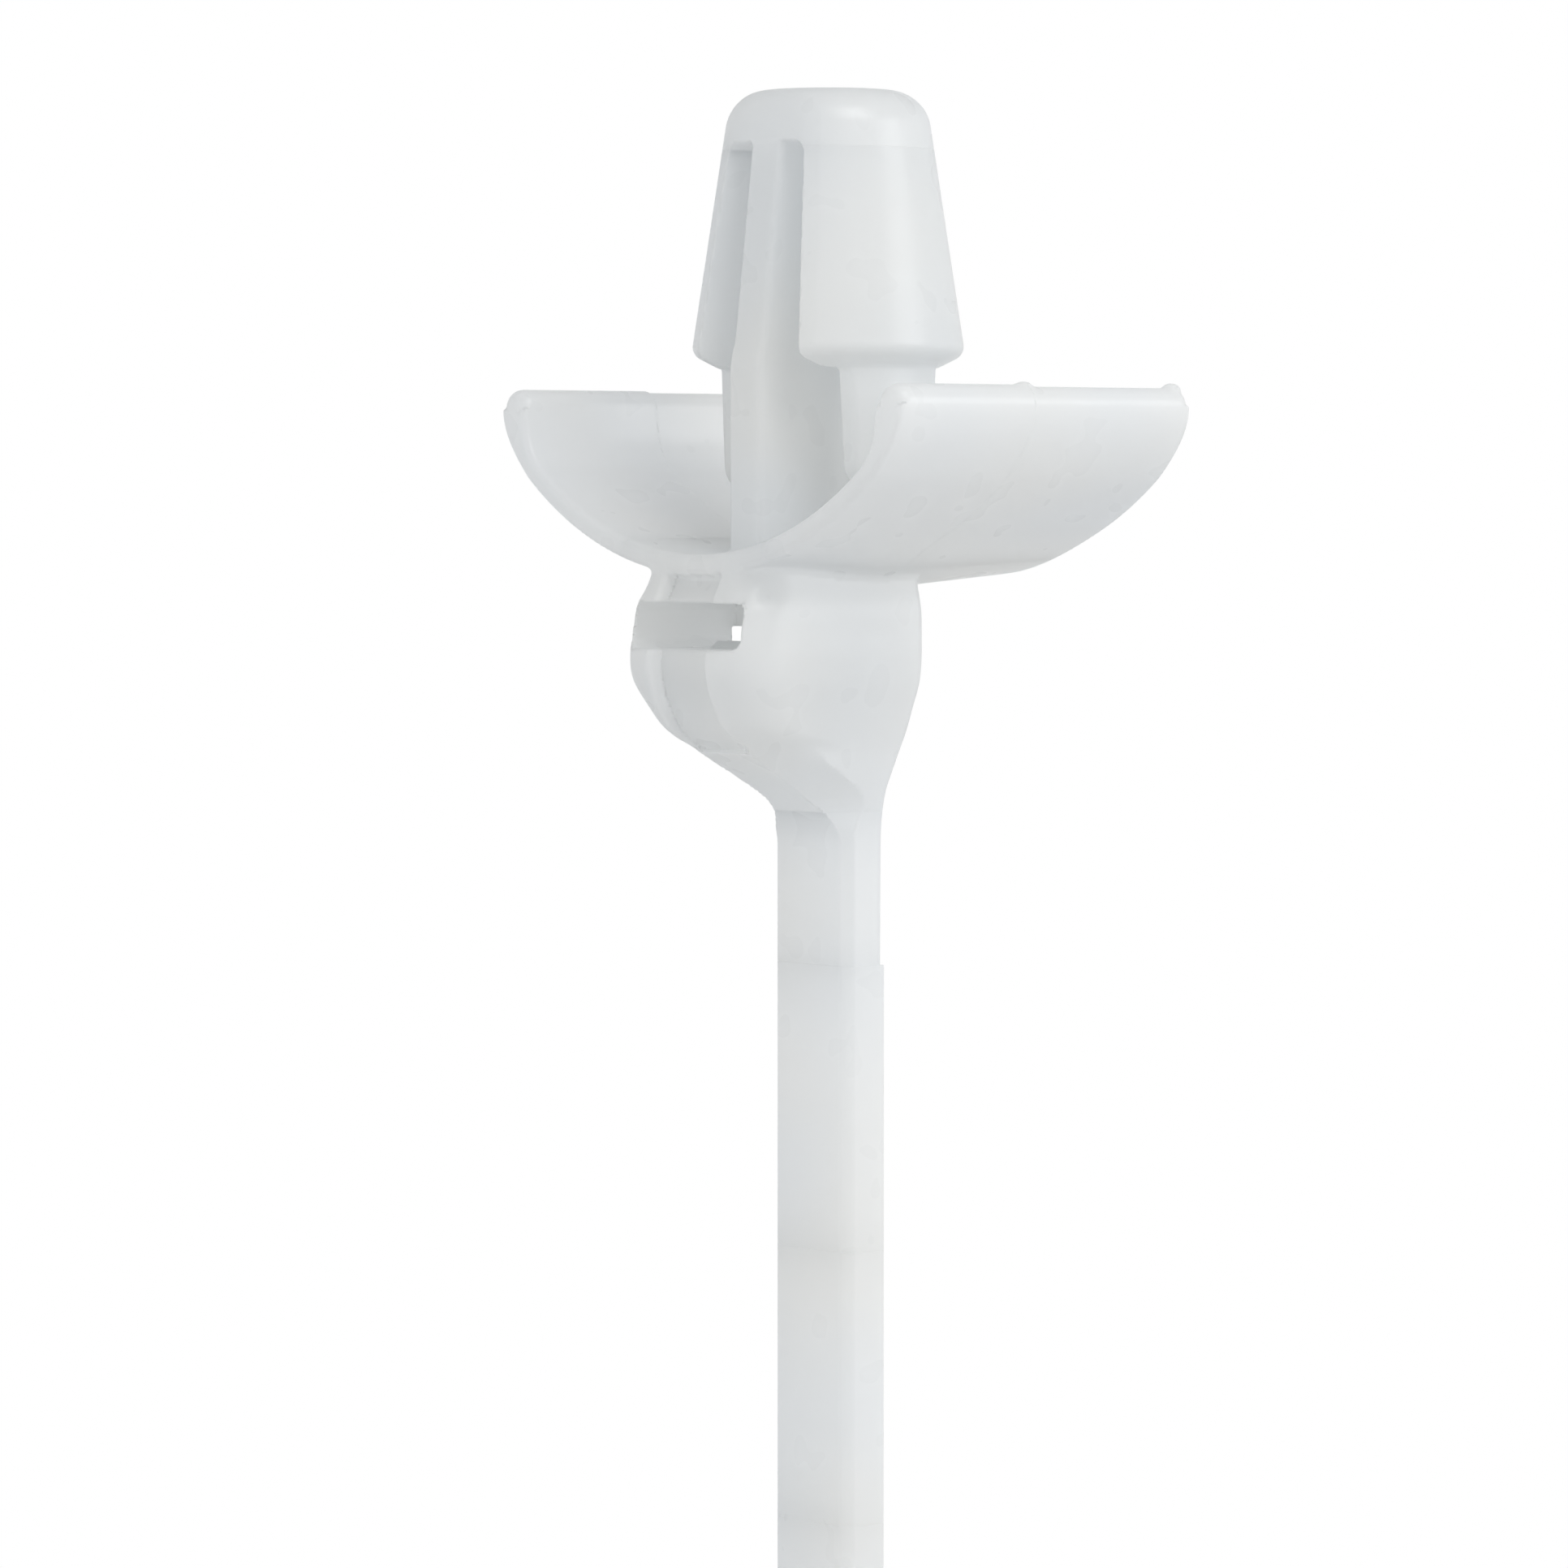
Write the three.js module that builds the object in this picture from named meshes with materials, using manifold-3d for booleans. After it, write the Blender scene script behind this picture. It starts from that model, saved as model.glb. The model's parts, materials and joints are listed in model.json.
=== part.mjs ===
// Miniature cable tie moulded in one piece with a winged push-in panel anchor.
// Millimetres. X is the wing span, -Y the side that the strap's end leaves by, +Z the way
// that the anchor goes into the panel. Z = 0 is the plane of the wing tips, which is the panel.
// The moulding is divided where its nylon flexes, so that each flexing zone is a piece of its own.
import * as THREE from "three";
import { mergeVertices } from "three/addons/utils/BufferGeometryUtils.js";
import Module from "manifold-3d";

const wasm = await Module();
wasm.setup();

// Strap
const STRAP_WIDTH = 2.8;
const STRAP_THICKNESS = 1.2;
const STRAP_CHAMFER = 0.25;
const STRAP_TOP = -10.5;
const STRAP_LINKS = 12;
const LINK_PITCH = 6.5;
const TOOTH_PITCH = 1.3;
const TOOTH_LAND = 0.1;
const TOOTH_DEPTH = 0.3;
const TOOTH_HALF_WIDTH = 0.75;
const TIP_LENGTH = 4.5;
const TIP_WIDTH = 1.6;
const TIP_CORNER = 0.3;

// Gaps at the flexing zones, and between stiff pieces
const FLEX_GAP = 0.3;
const SPLIT_GAP = 0.1;
const WELD_DISTANCE = 1e-4;

// Arrowhead
const NOSE_TOP = 7.1;
const NOSE_TOP_RADIUS = 1.55;
const NOSE_EDGE_RADIUS = 0.8;
const NOSE_EDGE_STEPS = 5;
const TURN_SEGMENTS = 48;
const POCKET_TOP = 5.75;
const POCKET_TOP_RADIUS = 2.5;
const LIP_Z = 0.8;
const LIP_RADIUS = 3.25;
const LIP_ROUND = 0.07;
const LIP_UNDERSIDE = 0.45;
const BARB_RIM = 0.24;
const BARB_HALF_ANGLE = THREE.MathUtils.degToRad(50);
const FLAT_SHARE = Math.sin(BARB_HALF_ANGLE);
const TAIL_INSIDE = 2.0;
const TAIL_OUTSIDE = 2.55;
const TAIL_TOP_HALF_DEPTH = 1.33;
const TAIL_END_HALF_DEPTH = 1.15;
const TAIL_CORNER = 0.4;
const TAIL_BOTTOM = -2.35;
const WEB_THICKNESS = 1.0;
const WEB_HALF_DEPTH = 2.6;

// Wings
const WING_FRONT = -4.1;
const WING_BACK = 4.9;
const WING_THICKNESS = 0.5;
const WING_FLOOR = -4.15;
const WING_RADIUS = 10.0;
const WING_ROOT = 2.7;
const WING_SWEEP_END = 6.75;
const WING_STEPS = 10;
const BEAD_X = 6.95;
const BEAD_Z = -0.45;
const BEAD_RADIUS = 0.45;
const BEAD_OVERLAP = 0.36;
const BEAD_SEGMENTS = 16;
const PILLAR_HALF_WIDTH = 2.1;

// Tie head: half of its front outline as (x, z), and its side outline's front as (y, z)
const HEAD_HALF_OUTLINE = [
  [2.3, -4.75],
  [2.4, -5.2],
  [2.42, -6.3],
  [2.38, -6.9],
  [2.04, -7.6],
  [1.68, -8.5],
  [1.52, -9.3],
  [1.44, -10.0],
  [1.4, -10.5],
];
const HEAD_SIDE_FRONT = [
  [-4.3, -4.75],
  [-4.46, -5.1],
  [-4.6, -6.1],
  [-4.65, -6.6],
  [-4.53, -7.15],
  [-4.1, -8.0],
  [-3.75, -8.33],
  [-3.22, -8.54],
  [-1.46, -9.56],
  [-0.83, -10.04],
  [-0.6, -10.5],
];
const HEAD_SIDE_BACK = [
  [0.6, -10.5],
  [0.62, -9.5],
  [0.93, -8.0],
  [0.93, -4.75],
];
const HEAD_TOP = -4.75;
const HEAD_BACK = 0.93;
const HEAD_HALF_WIDTH = 2.42;
const HEAD_FRONT = -4.65;
const HEAD_CORNER_WIDTH = 0.95;
const HEAD_CORNER_DEPTH = 1.3;
const HEAD_CORNER_STEPS = 6;
const HEAD_RECESS = 0.25;
const HEAD_SHOULDER = -7.6;
const HEAD_REACH = 6;
const NECK_Z = -8.9;
const SLOT_TOP = -5.02;
const SLOT_BOTTOM = -6.27;
const SLOT_WIDTH = 3.0;
const MOUTH_HALF_WIDTH = 1.95;
const MOUTH_BACK = -1.2;

// Pawl, its side outline as (y, z), and the cavity that it sits in
const PAWL_OUTLINE = [
  [-0.4, -7.1],
  [-0.4, -6.55],
  [-2.3, -6.15],
  [-2.3, -5.93],
  [-2.6, -6.15],
  [-2.6, -5.93],
  [-2.9, -6.15],
  [-2.9, -6.6],
];
const PAWL_HALF_WIDTH = 0.95;
const CAVITY_HALF_WIDTH = 1.15;
const CAVITY_FRONT = -3.3;
const CAVITY_BACK = -0.1;
const CAVITY_FLOOR = -7.5;

const nylon = {
  color: 0xe4e5e4,
  roughness: 0.32,
  metalness: 0,
};

// A closed three.js geometry as a manifold-3d solid.
function solid(geometry) {
  const bare = geometry.index ? geometry.toNonIndexed() : geometry.clone();
  bare.deleteAttribute("normal");
  bare.deleteAttribute("uv");
  const merged = mergeVertices(bare, WELD_DISTANCE);
  return new wasm.Manifold(
    new wasm.Mesh({
      numProp: 3,
      vertProperties: merged.attributes.position.array,
      triVerts: new Uint32Array(merged.index.array),
    }),
  );
}

// A solid as a named mesh with a nylon material of its own.
function piece(name, body) {
  const raw = body.getMesh();
  const geometry = new THREE.BufferGeometry();
  geometry.setAttribute("position", new THREE.BufferAttribute(raw.vertProperties, 3));
  geometry.setIndex(new THREE.BufferAttribute(raw.triVerts, 1));
  geometry.computeVertexNormals();
  const mesh = new THREE.Mesh(geometry, new THREE.MeshStandardMaterial(nylon));
  mesh.name = name;
  return mesh;
}

function block(low, high) {
  const size = high.map((value, i) => value - low[i]);
  const geometry = new THREE.BoxGeometry(...size);
  geometry.translate(...low.map((value, i) => value + size[i] / 2));
  return solid(geometry);
}

function outline(points) {
  return new THREE.Shape(points.map(([a, b]) => new THREE.Vector2(a, b)));
}

// An outline in (x, z), extruded along Y from low to high.
function prismXZ(shape, low, high) {
  const geometry = new THREE.ExtrudeGeometry(shape, {
    depth: high - low,
    bevelEnabled: false,
  });
  geometry.rotateX(Math.PI / 2);
  geometry.translate(0, high, 0);
  return solid(geometry);
}

// An outline in (y, z), extruded along X from low to high.
function prismYZ(shape, low, high) {
  const geometry = new THREE.ExtrudeGeometry(shape, {
    depth: high - low,
    bevelEnabled: false,
  });
  geometry.rotateZ(Math.PI / 2);
  geometry.rotateY(Math.PI / 2);
  geometry.translate(low, 0, 0);
  return solid(geometry);
}

// An outline in (x, y), extruded along Z from low to high.
function prismXY(shape, low, high) {
  const geometry = new THREE.ExtrudeGeometry(shape, { depth: high - low, bevelEnabled: false });
  geometry.translate(0, 0, low);
  return solid(geometry);
}

// A closed profile of (radius, z) points, turned about Z.
function turned(points) {
  const geometry = new THREE.LatheGeometry(
    points.map(([radius, z]) => new THREE.Vector2(radius, z)),
    TURN_SEGMENTS,
  );
  geometry.rotateX(Math.PI / 2);
  return solid(geometry);
}

// A pair of named meshes from the +X one of two mirror-image solids.
function pair(name, body) {
  const right = piece(`${name}_right`, body);
  const left = piece(`${name}_left`, body);
  left.scale.x = -1;
  return [right, left];
}

// The cone's radius at a height.
function coneRadius(z) {
  const share = (POCKET_TOP - z) / (POCKET_TOP - LIP_Z);
  return POCKET_TOP_RADIUS + share * (LIP_RADIUS - POCKET_TOP_RADIUS);
}

// The solid tip above the pockets: a rounded cone end with a flat front and back.
function noseSolid() {
  const profile = [
    [0, POCKET_TOP],
    [POCKET_TOP_RADIUS, POCKET_TOP],
    [coneRadius(NOSE_TOP - NOSE_EDGE_RADIUS), NOSE_TOP - NOSE_EDGE_RADIUS],
  ];
  const shoulder = coneRadius(NOSE_TOP - NOSE_EDGE_RADIUS);
  for (let i = 1; i < NOSE_EDGE_STEPS; i += 1) {
    const turn = (i / NOSE_EDGE_STEPS) * (Math.PI / 2);
    profile.push([
      NOSE_TOP_RADIUS + (shoulder - NOSE_TOP_RADIUS) * Math.cos(turn),
      NOSE_TOP - NOSE_EDGE_RADIUS * (1 - Math.sin(turn)),
    ]);
  }
  profile.push([NOSE_TOP_RADIUS, NOSE_TOP], [0, NOSE_TOP]);
  const low = FLAT_SHARE * coneRadius(POCKET_TOP);
  const high = FLAT_SHARE * coneRadius(NOSE_TOP);
  const slab = outline([
    [-low, POCKET_TOP],
    [low, POCKET_TOP],
    [high, NOSE_TOP],
    [-high, NOSE_TOP],
  ]);
  return turned(profile).intersect(prismYZ(slab, -LIP_RADIUS, LIP_RADIUS));
}

// The central web that carries the nose, down to the wings.
function webSolid() {
  const top = FLAT_SHARE * coneRadius(POCKET_TOP);
  const bottom = WING_FLOOR + WING_THICKNESS / 2 + SPLIT_GAP;
  const shape = outline([
    [-WEB_HALF_DEPTH, bottom],
    [WEB_HALF_DEPTH, bottom],
    [WEB_HALF_DEPTH, LIP_Z],
    [top, POCKET_TOP - SPLIT_GAP],
    [-top, POCKET_TOP - SPLIT_GAP],
    [-WEB_HALF_DEPTH, LIP_Z],
  ]);
  return prismYZ(shape, -WEB_THICKNESS / 2, WEB_THICKNESS / 2);
}

// A springy panel: a slice of the cone with a flat inside, the lip that catches the panel,
// and the narrow tail below it.
function barbSolid() {
  const top = POCKET_TOP - FLEX_GAP;
  const cone = turned([
    [0, LIP_UNDERSIDE],
    [TAIL_OUTSIDE, LIP_UNDERSIDE],
    [LIP_RADIUS - LIP_ROUND, LIP_Z - LIP_ROUND],
    [LIP_RADIUS, LIP_Z],
    [coneRadius(top), top],
    [0, top],
  ]);
  const inside = (z) => Math.cos(BARB_HALF_ANGLE) * coneRadius(z) - BARB_RIM;
  const slice = outline([
    [inside(LIP_Z), LIP_UNDERSIDE],
    [2 * LIP_RADIUS, LIP_UNDERSIDE],
    [2 * LIP_RADIUS, top],
    [inside(top), top],
  ]);
  const depth = (z) => FLAT_SHARE * coneRadius(z);
  const slab = outline([
    [-depth(LIP_Z), LIP_UNDERSIDE],
    [depth(LIP_Z), LIP_UNDERSIDE],
    [depth(top), top],
    [-depth(top), top],
  ]);
  const panel = cone
    .intersect(prismXZ(slice, -LIP_RADIUS, LIP_RADIUS))
    .intersect(prismYZ(slab, 0, 2 * LIP_RADIUS));
  const tail = outline([
    [-TAIL_TOP_HALF_DEPTH, LIP_Z],
    [-TAIL_END_HALF_DEPTH, TAIL_BOTTOM + TAIL_CORNER],
    [-TAIL_END_HALF_DEPTH + TAIL_CORNER, TAIL_BOTTOM],
    [TAIL_END_HALF_DEPTH - TAIL_CORNER, TAIL_BOTTOM],
    [TAIL_END_HALF_DEPTH, TAIL_BOTTOM + TAIL_CORNER],
    [TAIL_TOP_HALF_DEPTH, LIP_Z],
  ]);
  return panel.add(prismYZ(tail, TAIL_INSIDE, TAIL_OUTSIDE));
}

// The wing's middle line at a distance from the axis: an arc that is lowest on the axis.
function wingLine(x) {
  return WING_FLOOR + WING_RADIUS - Math.sqrt(WING_RADIUS ** 2 - x ** 2);
}

// The two faces of the wing's arc between two distances from the axis.
function wingFaces(from, to) {
  const upper = [];
  const lower = [];
  for (let i = 0; i <= WING_STEPS; i += 1) {
    const x = from + (i / WING_STEPS) * (to - from);
    const slope = Math.asin(x / WING_RADIUS);
    const across = (WING_THICKNESS / 2) * Math.sin(slope);
    const up = (WING_THICKNESS / 2) * Math.cos(slope);
    upper.push([x - across, wingLine(x) + up]);
    lower.push([x + across, wingLine(x) - up]);
  }
  return { upper, lower };
}

// One thin springy wing with a bead along its tip.
function wingSolid() {
  const { upper, lower } = wingFaces(WING_ROOT + FLEX_GAP / 2, WING_SWEEP_END);
  upper.push([BEAD_X - BEAD_OVERLAP, BEAD_Z]);
  lower.push([BEAD_X + BEAD_OVERLAP, BEAD_Z]);
  const plate = prismXZ(outline([...lower, ...upper.reverse()]), WING_FRONT, WING_BACK);
  const bead = new THREE.CylinderGeometry(
    BEAD_RADIUS,
    BEAD_RADIUS,
    WING_BACK - WING_FRONT,
    BEAD_SEGMENTS,
  );
  bead.translate(BEAD_X, (WING_BACK + WING_FRONT) / 2, BEAD_Z);
  return plate.add(solid(bead));
}

// The stiff middle that the wings spring from, and the pillar under it on the tie head.
function hubSolid() {
  const edge = WING_ROOT - FLEX_GAP / 2;
  const { upper, lower } = wingFaces(-edge, edge);
  const saddle = prismXZ(outline([...lower, ...upper.reverse()]), WING_FRONT, WING_BACK);
  const pillar = block(
    [-PILLAR_HALF_WIDTH, WING_FRONT, HEAD_TOP + SPLIT_GAP],
    [PILLAR_HALF_WIDTH, HEAD_BACK, WING_FLOOR],
  );
  return saddle.add(pillar);
}

// The whole outside of the tie head, with its front set back by a distance: its side outline,
// its front outline and its plan, which has rounded front corners.
function headSolid(setBack) {
  const side = outline([
    ...HEAD_SIDE_FRONT.map(([y, z]) => [Math.min(y + setBack, 0), z]),
    ...HEAD_SIDE_BACK,
  ]);
  const front = outline([
    ...HEAD_HALF_OUTLINE,
    ...HEAD_HALF_OUTLINE.map(([x, z]) => [-x, z]).reverse(),
  ]);
  const corner = [];
  for (let i = 0; i <= HEAD_CORNER_STEPS; i += 1) {
    const turn = (i / HEAD_CORNER_STEPS) * (Math.PI / 2);
    corner.push([
      HEAD_HALF_WIDTH - HEAD_CORNER_WIDTH * (1 - Math.sin(turn)),
      HEAD_FRONT + HEAD_CORNER_DEPTH * (1 - Math.cos(turn)),
    ]);
  }
  const plan = outline([
    [-HEAD_HALF_WIDTH, HEAD_BACK],
    ...corner.map(([x, y]) => [-x, y]).reverse(),
    ...corner,
    [HEAD_HALF_WIDTH, HEAD_BACK],
  ]);
  return prismYZ(side, -HEAD_REACH, HEAD_REACH)
    .intersect(prismXZ(front, -HEAD_REACH, HEAD_REACH))
    .intersect(prismXY(plan, STRAP_TOP, HEAD_TOP));
}

// The head, divided round its slot into two cheeks, a bridge above and a floor below.
function headPieces() {
  const whole = headSolid(0);
  const recessed = headSolid(HEAD_RECESS);
  const outer = SLOT_WIDTH / 2 + SPLIT_GAP / 2;
  const inner = SLOT_WIDTH / 2 - SPLIT_GAP / 2;
  const far = HEAD_REACH;
  const under = HEAD_SHOULDER - SPLIT_GAP;
  const mouth = block([0, -far, SLOT_BOTTOM], [MOUTH_HALF_WIDTH, MOUTH_BACK, SLOT_TOP]);
  const cheek = whole
    .intersect(block([outer, -far, HEAD_SHOULDER], [far, far, HEAD_TOP]))
    .subtract(mouth);
  const bridge = recessed.intersect(block([-inner, -far, SLOT_TOP], [inner, far, HEAD_TOP]));
  const cavity = block(
    [-CAVITY_HALF_WIDTH, CAVITY_FRONT, CAVITY_FLOOR],
    [CAVITY_HALF_WIDTH, CAVITY_BACK, SLOT_TOP],
  );
  const floor = recessed
    .intersect(block([-inner, -far, under], [inner, far, SLOT_BOTTOM]))
    .add(whole.intersect(block([-far, -far, NECK_Z], [far, far, under])))
    .subtract(cavity);
  const root = whole.intersect(block([-far, -far, STRAP_TOP], [far, far, NECK_Z - SPLIT_GAP]));
  return [
    ...pair("head_cheek", cheek),
    piece("head_bridge", bridge),
    piece("head_floor", floor),
    piece("strap_root", root),
  ];
}

// The locking pawl: it springs from the floor behind the cavity and points to the slot's exit.
function pawlSolid() {
  return prismYZ(outline(PAWL_OUTLINE), -PAWL_HALF_WIDTH, PAWL_HALF_WIDTH);
}

// One stretch of strap, with ratchet teeth across the middle of its back.
function linkSolid(top, length, toothed) {
  const halfWidth = STRAP_WIDTH / 2;
  const half = STRAP_THICKNESS / 2;
  const section = outline([
    [-halfWidth, half],
    [-halfWidth, -half + STRAP_CHAMFER],
    [-halfWidth + STRAP_CHAMFER, -half],
    [halfWidth - STRAP_CHAMFER, -half],
    [halfWidth, -half + STRAP_CHAMFER],
    [halfWidth, half],
  ]);
  let body = prismXY(section, top - length, top);
  if (!toothed) {
    return body;
  }
  const count = Math.floor(length / TOOTH_PITCH);
  const start = top - (length - count * TOOTH_PITCH) / 2;
  for (let i = 0; i < count; i += 1) {
    const high = start - i * TOOTH_PITCH - TOOTH_LAND;
    const low = high - TOOTH_PITCH + 2 * TOOTH_LAND;
    const notch = outline([
      [STRAP_THICKNESS, high],
      [half - TOOTH_DEPTH, high],
      [half, low],
      [STRAP_THICKNESS, low],
    ]);
    body = body.subtract(prismYZ(notch, -TOOTH_HALF_WIDTH, TOOTH_HALF_WIDTH));
  }
  return body;
}

// The plain narrowing end that is threaded through the slot first.
function tipSolid(top) {
  const halfWidth = STRAP_WIDTH / 2;
  const halfTip = TIP_WIDTH / 2;
  const half = STRAP_THICKNESS / 2;
  const end = top - TIP_LENGTH;
  const front = outline([
    [-halfWidth, top],
    [-halfTip, end + TIP_CORNER],
    [-halfTip + TIP_CORNER, end],
    [halfTip - TIP_CORNER, end],
    [halfTip, end + TIP_CORNER],
    [halfWidth, top],
  ]);
  const side = outline([
    [-half, top],
    [-half, end],
    [0, end],
    [half - TOOTH_DEPTH, top],
  ]);
  return prismXZ(front, -STRAP_WIDTH, STRAP_WIDTH).intersect(
    prismYZ(side, -STRAP_WIDTH, STRAP_WIDTH),
  );
}

const part = new THREE.Group();
part.add(piece("nose", noseSolid()));
part.add(piece("spine_web", webSolid()));
part.add(...pair("barb", barbSolid()));
part.add(...pair("wing", wingSolid()));
part.add(piece("wing_hub", hubSolid()));
part.add(...headPieces());
part.add(piece("pawl", pawlSolid()));

// The strap's joints stand half a gap above each link.
for (let i = 0; i < STRAP_LINKS; i += 1) {
  const top = STRAP_TOP - FLEX_GAP - i * LINK_PITCH;
  const number = String(i + 1).padStart(2, "0");
  part.add(piece(`strap_link_${number}`, linkSolid(top, LINK_PITCH - FLEX_GAP, i > 0)));
}
const tipTop = STRAP_TOP - FLEX_GAP - STRAP_LINKS * LINK_PITCH;
part.add(piece("strap_tip", tipSolid(tipTop)));

export default part;
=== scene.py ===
"""Milky nylon cable tie with a winged push-in panel anchor.

The moulding's upper part is one distance field in millimetres, meshed with surface nets and divided
where its nylon flexes. The strap below it is a swept section with ratchet teeth on its back.
X is the wing span, -Y the front of the head, +Z the way that the arrowhead enters the panel.
"""

import json
import math

import bmesh
import bpy
import numpy as np
from mathutils import Matrix, Vector

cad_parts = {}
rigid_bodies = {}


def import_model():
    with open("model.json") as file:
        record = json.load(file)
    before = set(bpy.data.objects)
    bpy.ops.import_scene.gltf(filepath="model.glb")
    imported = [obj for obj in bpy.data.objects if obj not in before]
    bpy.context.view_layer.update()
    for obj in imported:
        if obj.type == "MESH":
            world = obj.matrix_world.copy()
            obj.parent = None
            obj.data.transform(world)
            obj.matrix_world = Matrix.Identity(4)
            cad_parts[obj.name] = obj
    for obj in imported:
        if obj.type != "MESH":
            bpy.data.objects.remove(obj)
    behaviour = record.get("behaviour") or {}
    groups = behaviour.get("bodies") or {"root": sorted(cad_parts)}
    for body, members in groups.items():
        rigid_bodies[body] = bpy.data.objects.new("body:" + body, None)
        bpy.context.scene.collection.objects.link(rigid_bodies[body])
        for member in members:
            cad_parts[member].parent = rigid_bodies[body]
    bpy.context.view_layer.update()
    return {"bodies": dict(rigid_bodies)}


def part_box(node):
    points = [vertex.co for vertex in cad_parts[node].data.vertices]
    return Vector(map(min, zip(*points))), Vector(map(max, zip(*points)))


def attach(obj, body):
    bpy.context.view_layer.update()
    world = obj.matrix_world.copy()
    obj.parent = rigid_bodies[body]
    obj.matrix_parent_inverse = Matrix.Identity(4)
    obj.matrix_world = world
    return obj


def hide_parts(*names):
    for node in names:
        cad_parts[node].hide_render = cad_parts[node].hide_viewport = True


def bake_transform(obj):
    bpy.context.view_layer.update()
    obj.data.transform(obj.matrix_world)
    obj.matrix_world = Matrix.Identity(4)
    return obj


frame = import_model()

MM = 0.001
DETAIL_STEP = 0.08
FIELD_LOW = (-7.9, -5.2, -14.2)
FIELD_HIGH = (7.9, 5.1, 7.5)

# Arrowhead
CONE_TOP_Z = 5.75
CONE_TOP_RADIUS = 2.5
LIP_Z = 0.8
LIP_RADIUS = 3.25
CONE_TAPER = (LIP_RADIUS - CONE_TOP_RADIUS) / (CONE_TOP_Z - LIP_Z)
FLAT_SHARE = 0.766
BARB_SHARE = 0.643
BARB_RIM = 0.25
NOSE_TOP = 7.0
NOSE_EDGE = 0.85
POCKET_ROUND = 0.35
LIP_INNER_RADIUS = 2.6
LIP_INNER_Z = 0.45
LIP_ROUND = 0.22
WEB_HALF = 0.5
WEB_DEPTH = 2.6
WEB_RIDGE = 0.07
TAIL_RADIUS = 2.75
TAIL_INSIDE = 1.92
TAIL_DEPTH_TOP = 1.33
TAIL_DEPTH_END = 1.15
TAIL_BOTTOM = -2.35
TAIL_ROUND = 0.55
TAIL_EDGE = 0.12
FLAT_ROUND = 0.22
POCKET_EDGE = 0.07
RIDGE_START = 0.9
RIDGE_END = 0.3
WEB_INSET = 0.02
WEB_ROUND = 0.14
WEB_FILLET = 0.04
TAIL_FILLET = 0.12
OVERLAP = 0.4

# Wings
WING_FLOOR = -4.15
WING_RADIUS = 10.0
WING_HALF = 0.245
WING_FRONT = -4.1
WING_BACK = 4.9
BEAD = (6.95, -0.45, 0.45)
CURL_RADIUS = 2.2
BEAD_SWELL = (-2.0, -0.6)
NIB_PLACES = (0.0, 4.6)
NIB_SIZE = (0.2, 0.26, 0.17)
PARTING_STEP = 0.045
RIB_DEPTH = 0.42
RIB_TAPER = 0.08
RIB_FROM = 1.0
RIB_SPAN = (1.2, 4.2)
RIB_RISE = (-4.2, 0)
PARTING_BLEND = 0.03
WING_EDGE = 0.16
BEAD_END = 0.36
NIB_SINK = 0.1
NIB_FILLET = 0.06

# Tie head: (height, value) pairs
HALF_WIDTH = (
    (-13.0, 1.4), (-10.6, 1.4), (-10.0, 1.44), (-9.3, 1.52), (-8.5, 1.7), (-7.6, 2.06),
    (-6.9, 2.36), (-6.3, 2.41), (-5.2, 2.4), (-4.6, 2.24), (-4.0, 2.2),
)
FRONT_DEPTH = (
    (-13.0, 0.6), (-10.6, 0.6), (-10.04, 0.83), (-9.56, 1.46), (-8.54, 3.22), (-8.33, 3.72),
    (-8.0, 4.1), (-7.15, 4.52), (-6.6, 4.64), (-6.1, 4.61), (-5.04, 4.46), (-4.6, 4.2), (-4.0, 4.0),
)
BACK_DEPTH = ((-13.0, 0.6), (-9.6, 0.62), (-8.2, 0.925), (-4.0, 0.925))
HEAD_SMOOTH = 0.16
LINE_STEP = 0.02
LINE_MARGIN = 2
KERNEL_REACH = 3
CORNER_HEAD = (0.95, 1.3)
CHAMFER = 0.25
CHAMFER_GROWTH = 0.45
CHAMFER_LOW = -10.6
CHAMFER_HIGH = -9.6
CHAMFER_FROM = -8.2
CHAMFER_TO = -8.9
RECESS_HALF = 1.0
RECESS_DEPTH = 0.38
RECESS_TOP = -3.9
RECESS_BOTTOM = -8.5
SLOT_TOP = -5.04
SLOT_BOTTOM = -6.13
MOUTH_HALF = 1.98
SLOT_HALF = 1.5
MOUTH_BACK = -1.2
WINDOW = (-2.4, -1.0, -5.85)
WINDOW_SIZE = (1.0, 0.3, 0.2)
CAVITY_HALF = 1.15
CAVITY_FRONT = -3.3
CAVITY_BACK = -0.1
CAVITY_FLOOR = -7.5
STEP_LINE = -13.63
STRAP_HALF_WIDTH = 1.4
STRAP_HALF_THICKNESS = 0.6
REAR_ROUND = 0.3
REAR_RIM = 0.12
REAR_BLEND = (-10.5, -8.5)
RECESS_CORNER = 0.2
RECESS_EDGE = 0.12
MOUTH_CORNER = 0.25
SLOT_EDGE = 0.06
WING_FILLET = 0.14
ANCHOR_FILLET = 0.16

# Where the moulding is divided into its flexing pieces, and which faces each cut reaches
BARB_CUT = 5.6
WING_CUT = 2.6
NECK_CUT = -10.0
SEAM_GAP = 0.004
CUT_TOLERANCE = 1e-5
BARB_INNER = 1.0
WINGS_BELOW_TAIL = 0.3
PIECE_MARGIN = 0.2
SLOPE_REACH = 0.02
SHORTEST_SLOPE = 1e-6

# Strap
TOOTH_PITCH = 1.3
TOOTH_DEPTH = 0.28
TOOTH_HALF = 0.75
TOOTH_LAND = 0.1
TOOTH_STEEP = 0.03
RING_STEP = 0.5
SOFT_EDGE = 0.05
TIP_HALF = 0.75
TIP_CORNER = 0.4
TIP_THINNING = 0.25
TIP_RINGS = 10
TIP_ROUND_SHARES = (0.5, 0.85, 1)
TIP_EASE = 8
SHARP_ANGLE = math.radians(35)
CAP_AGREEMENT = 0.3

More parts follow.
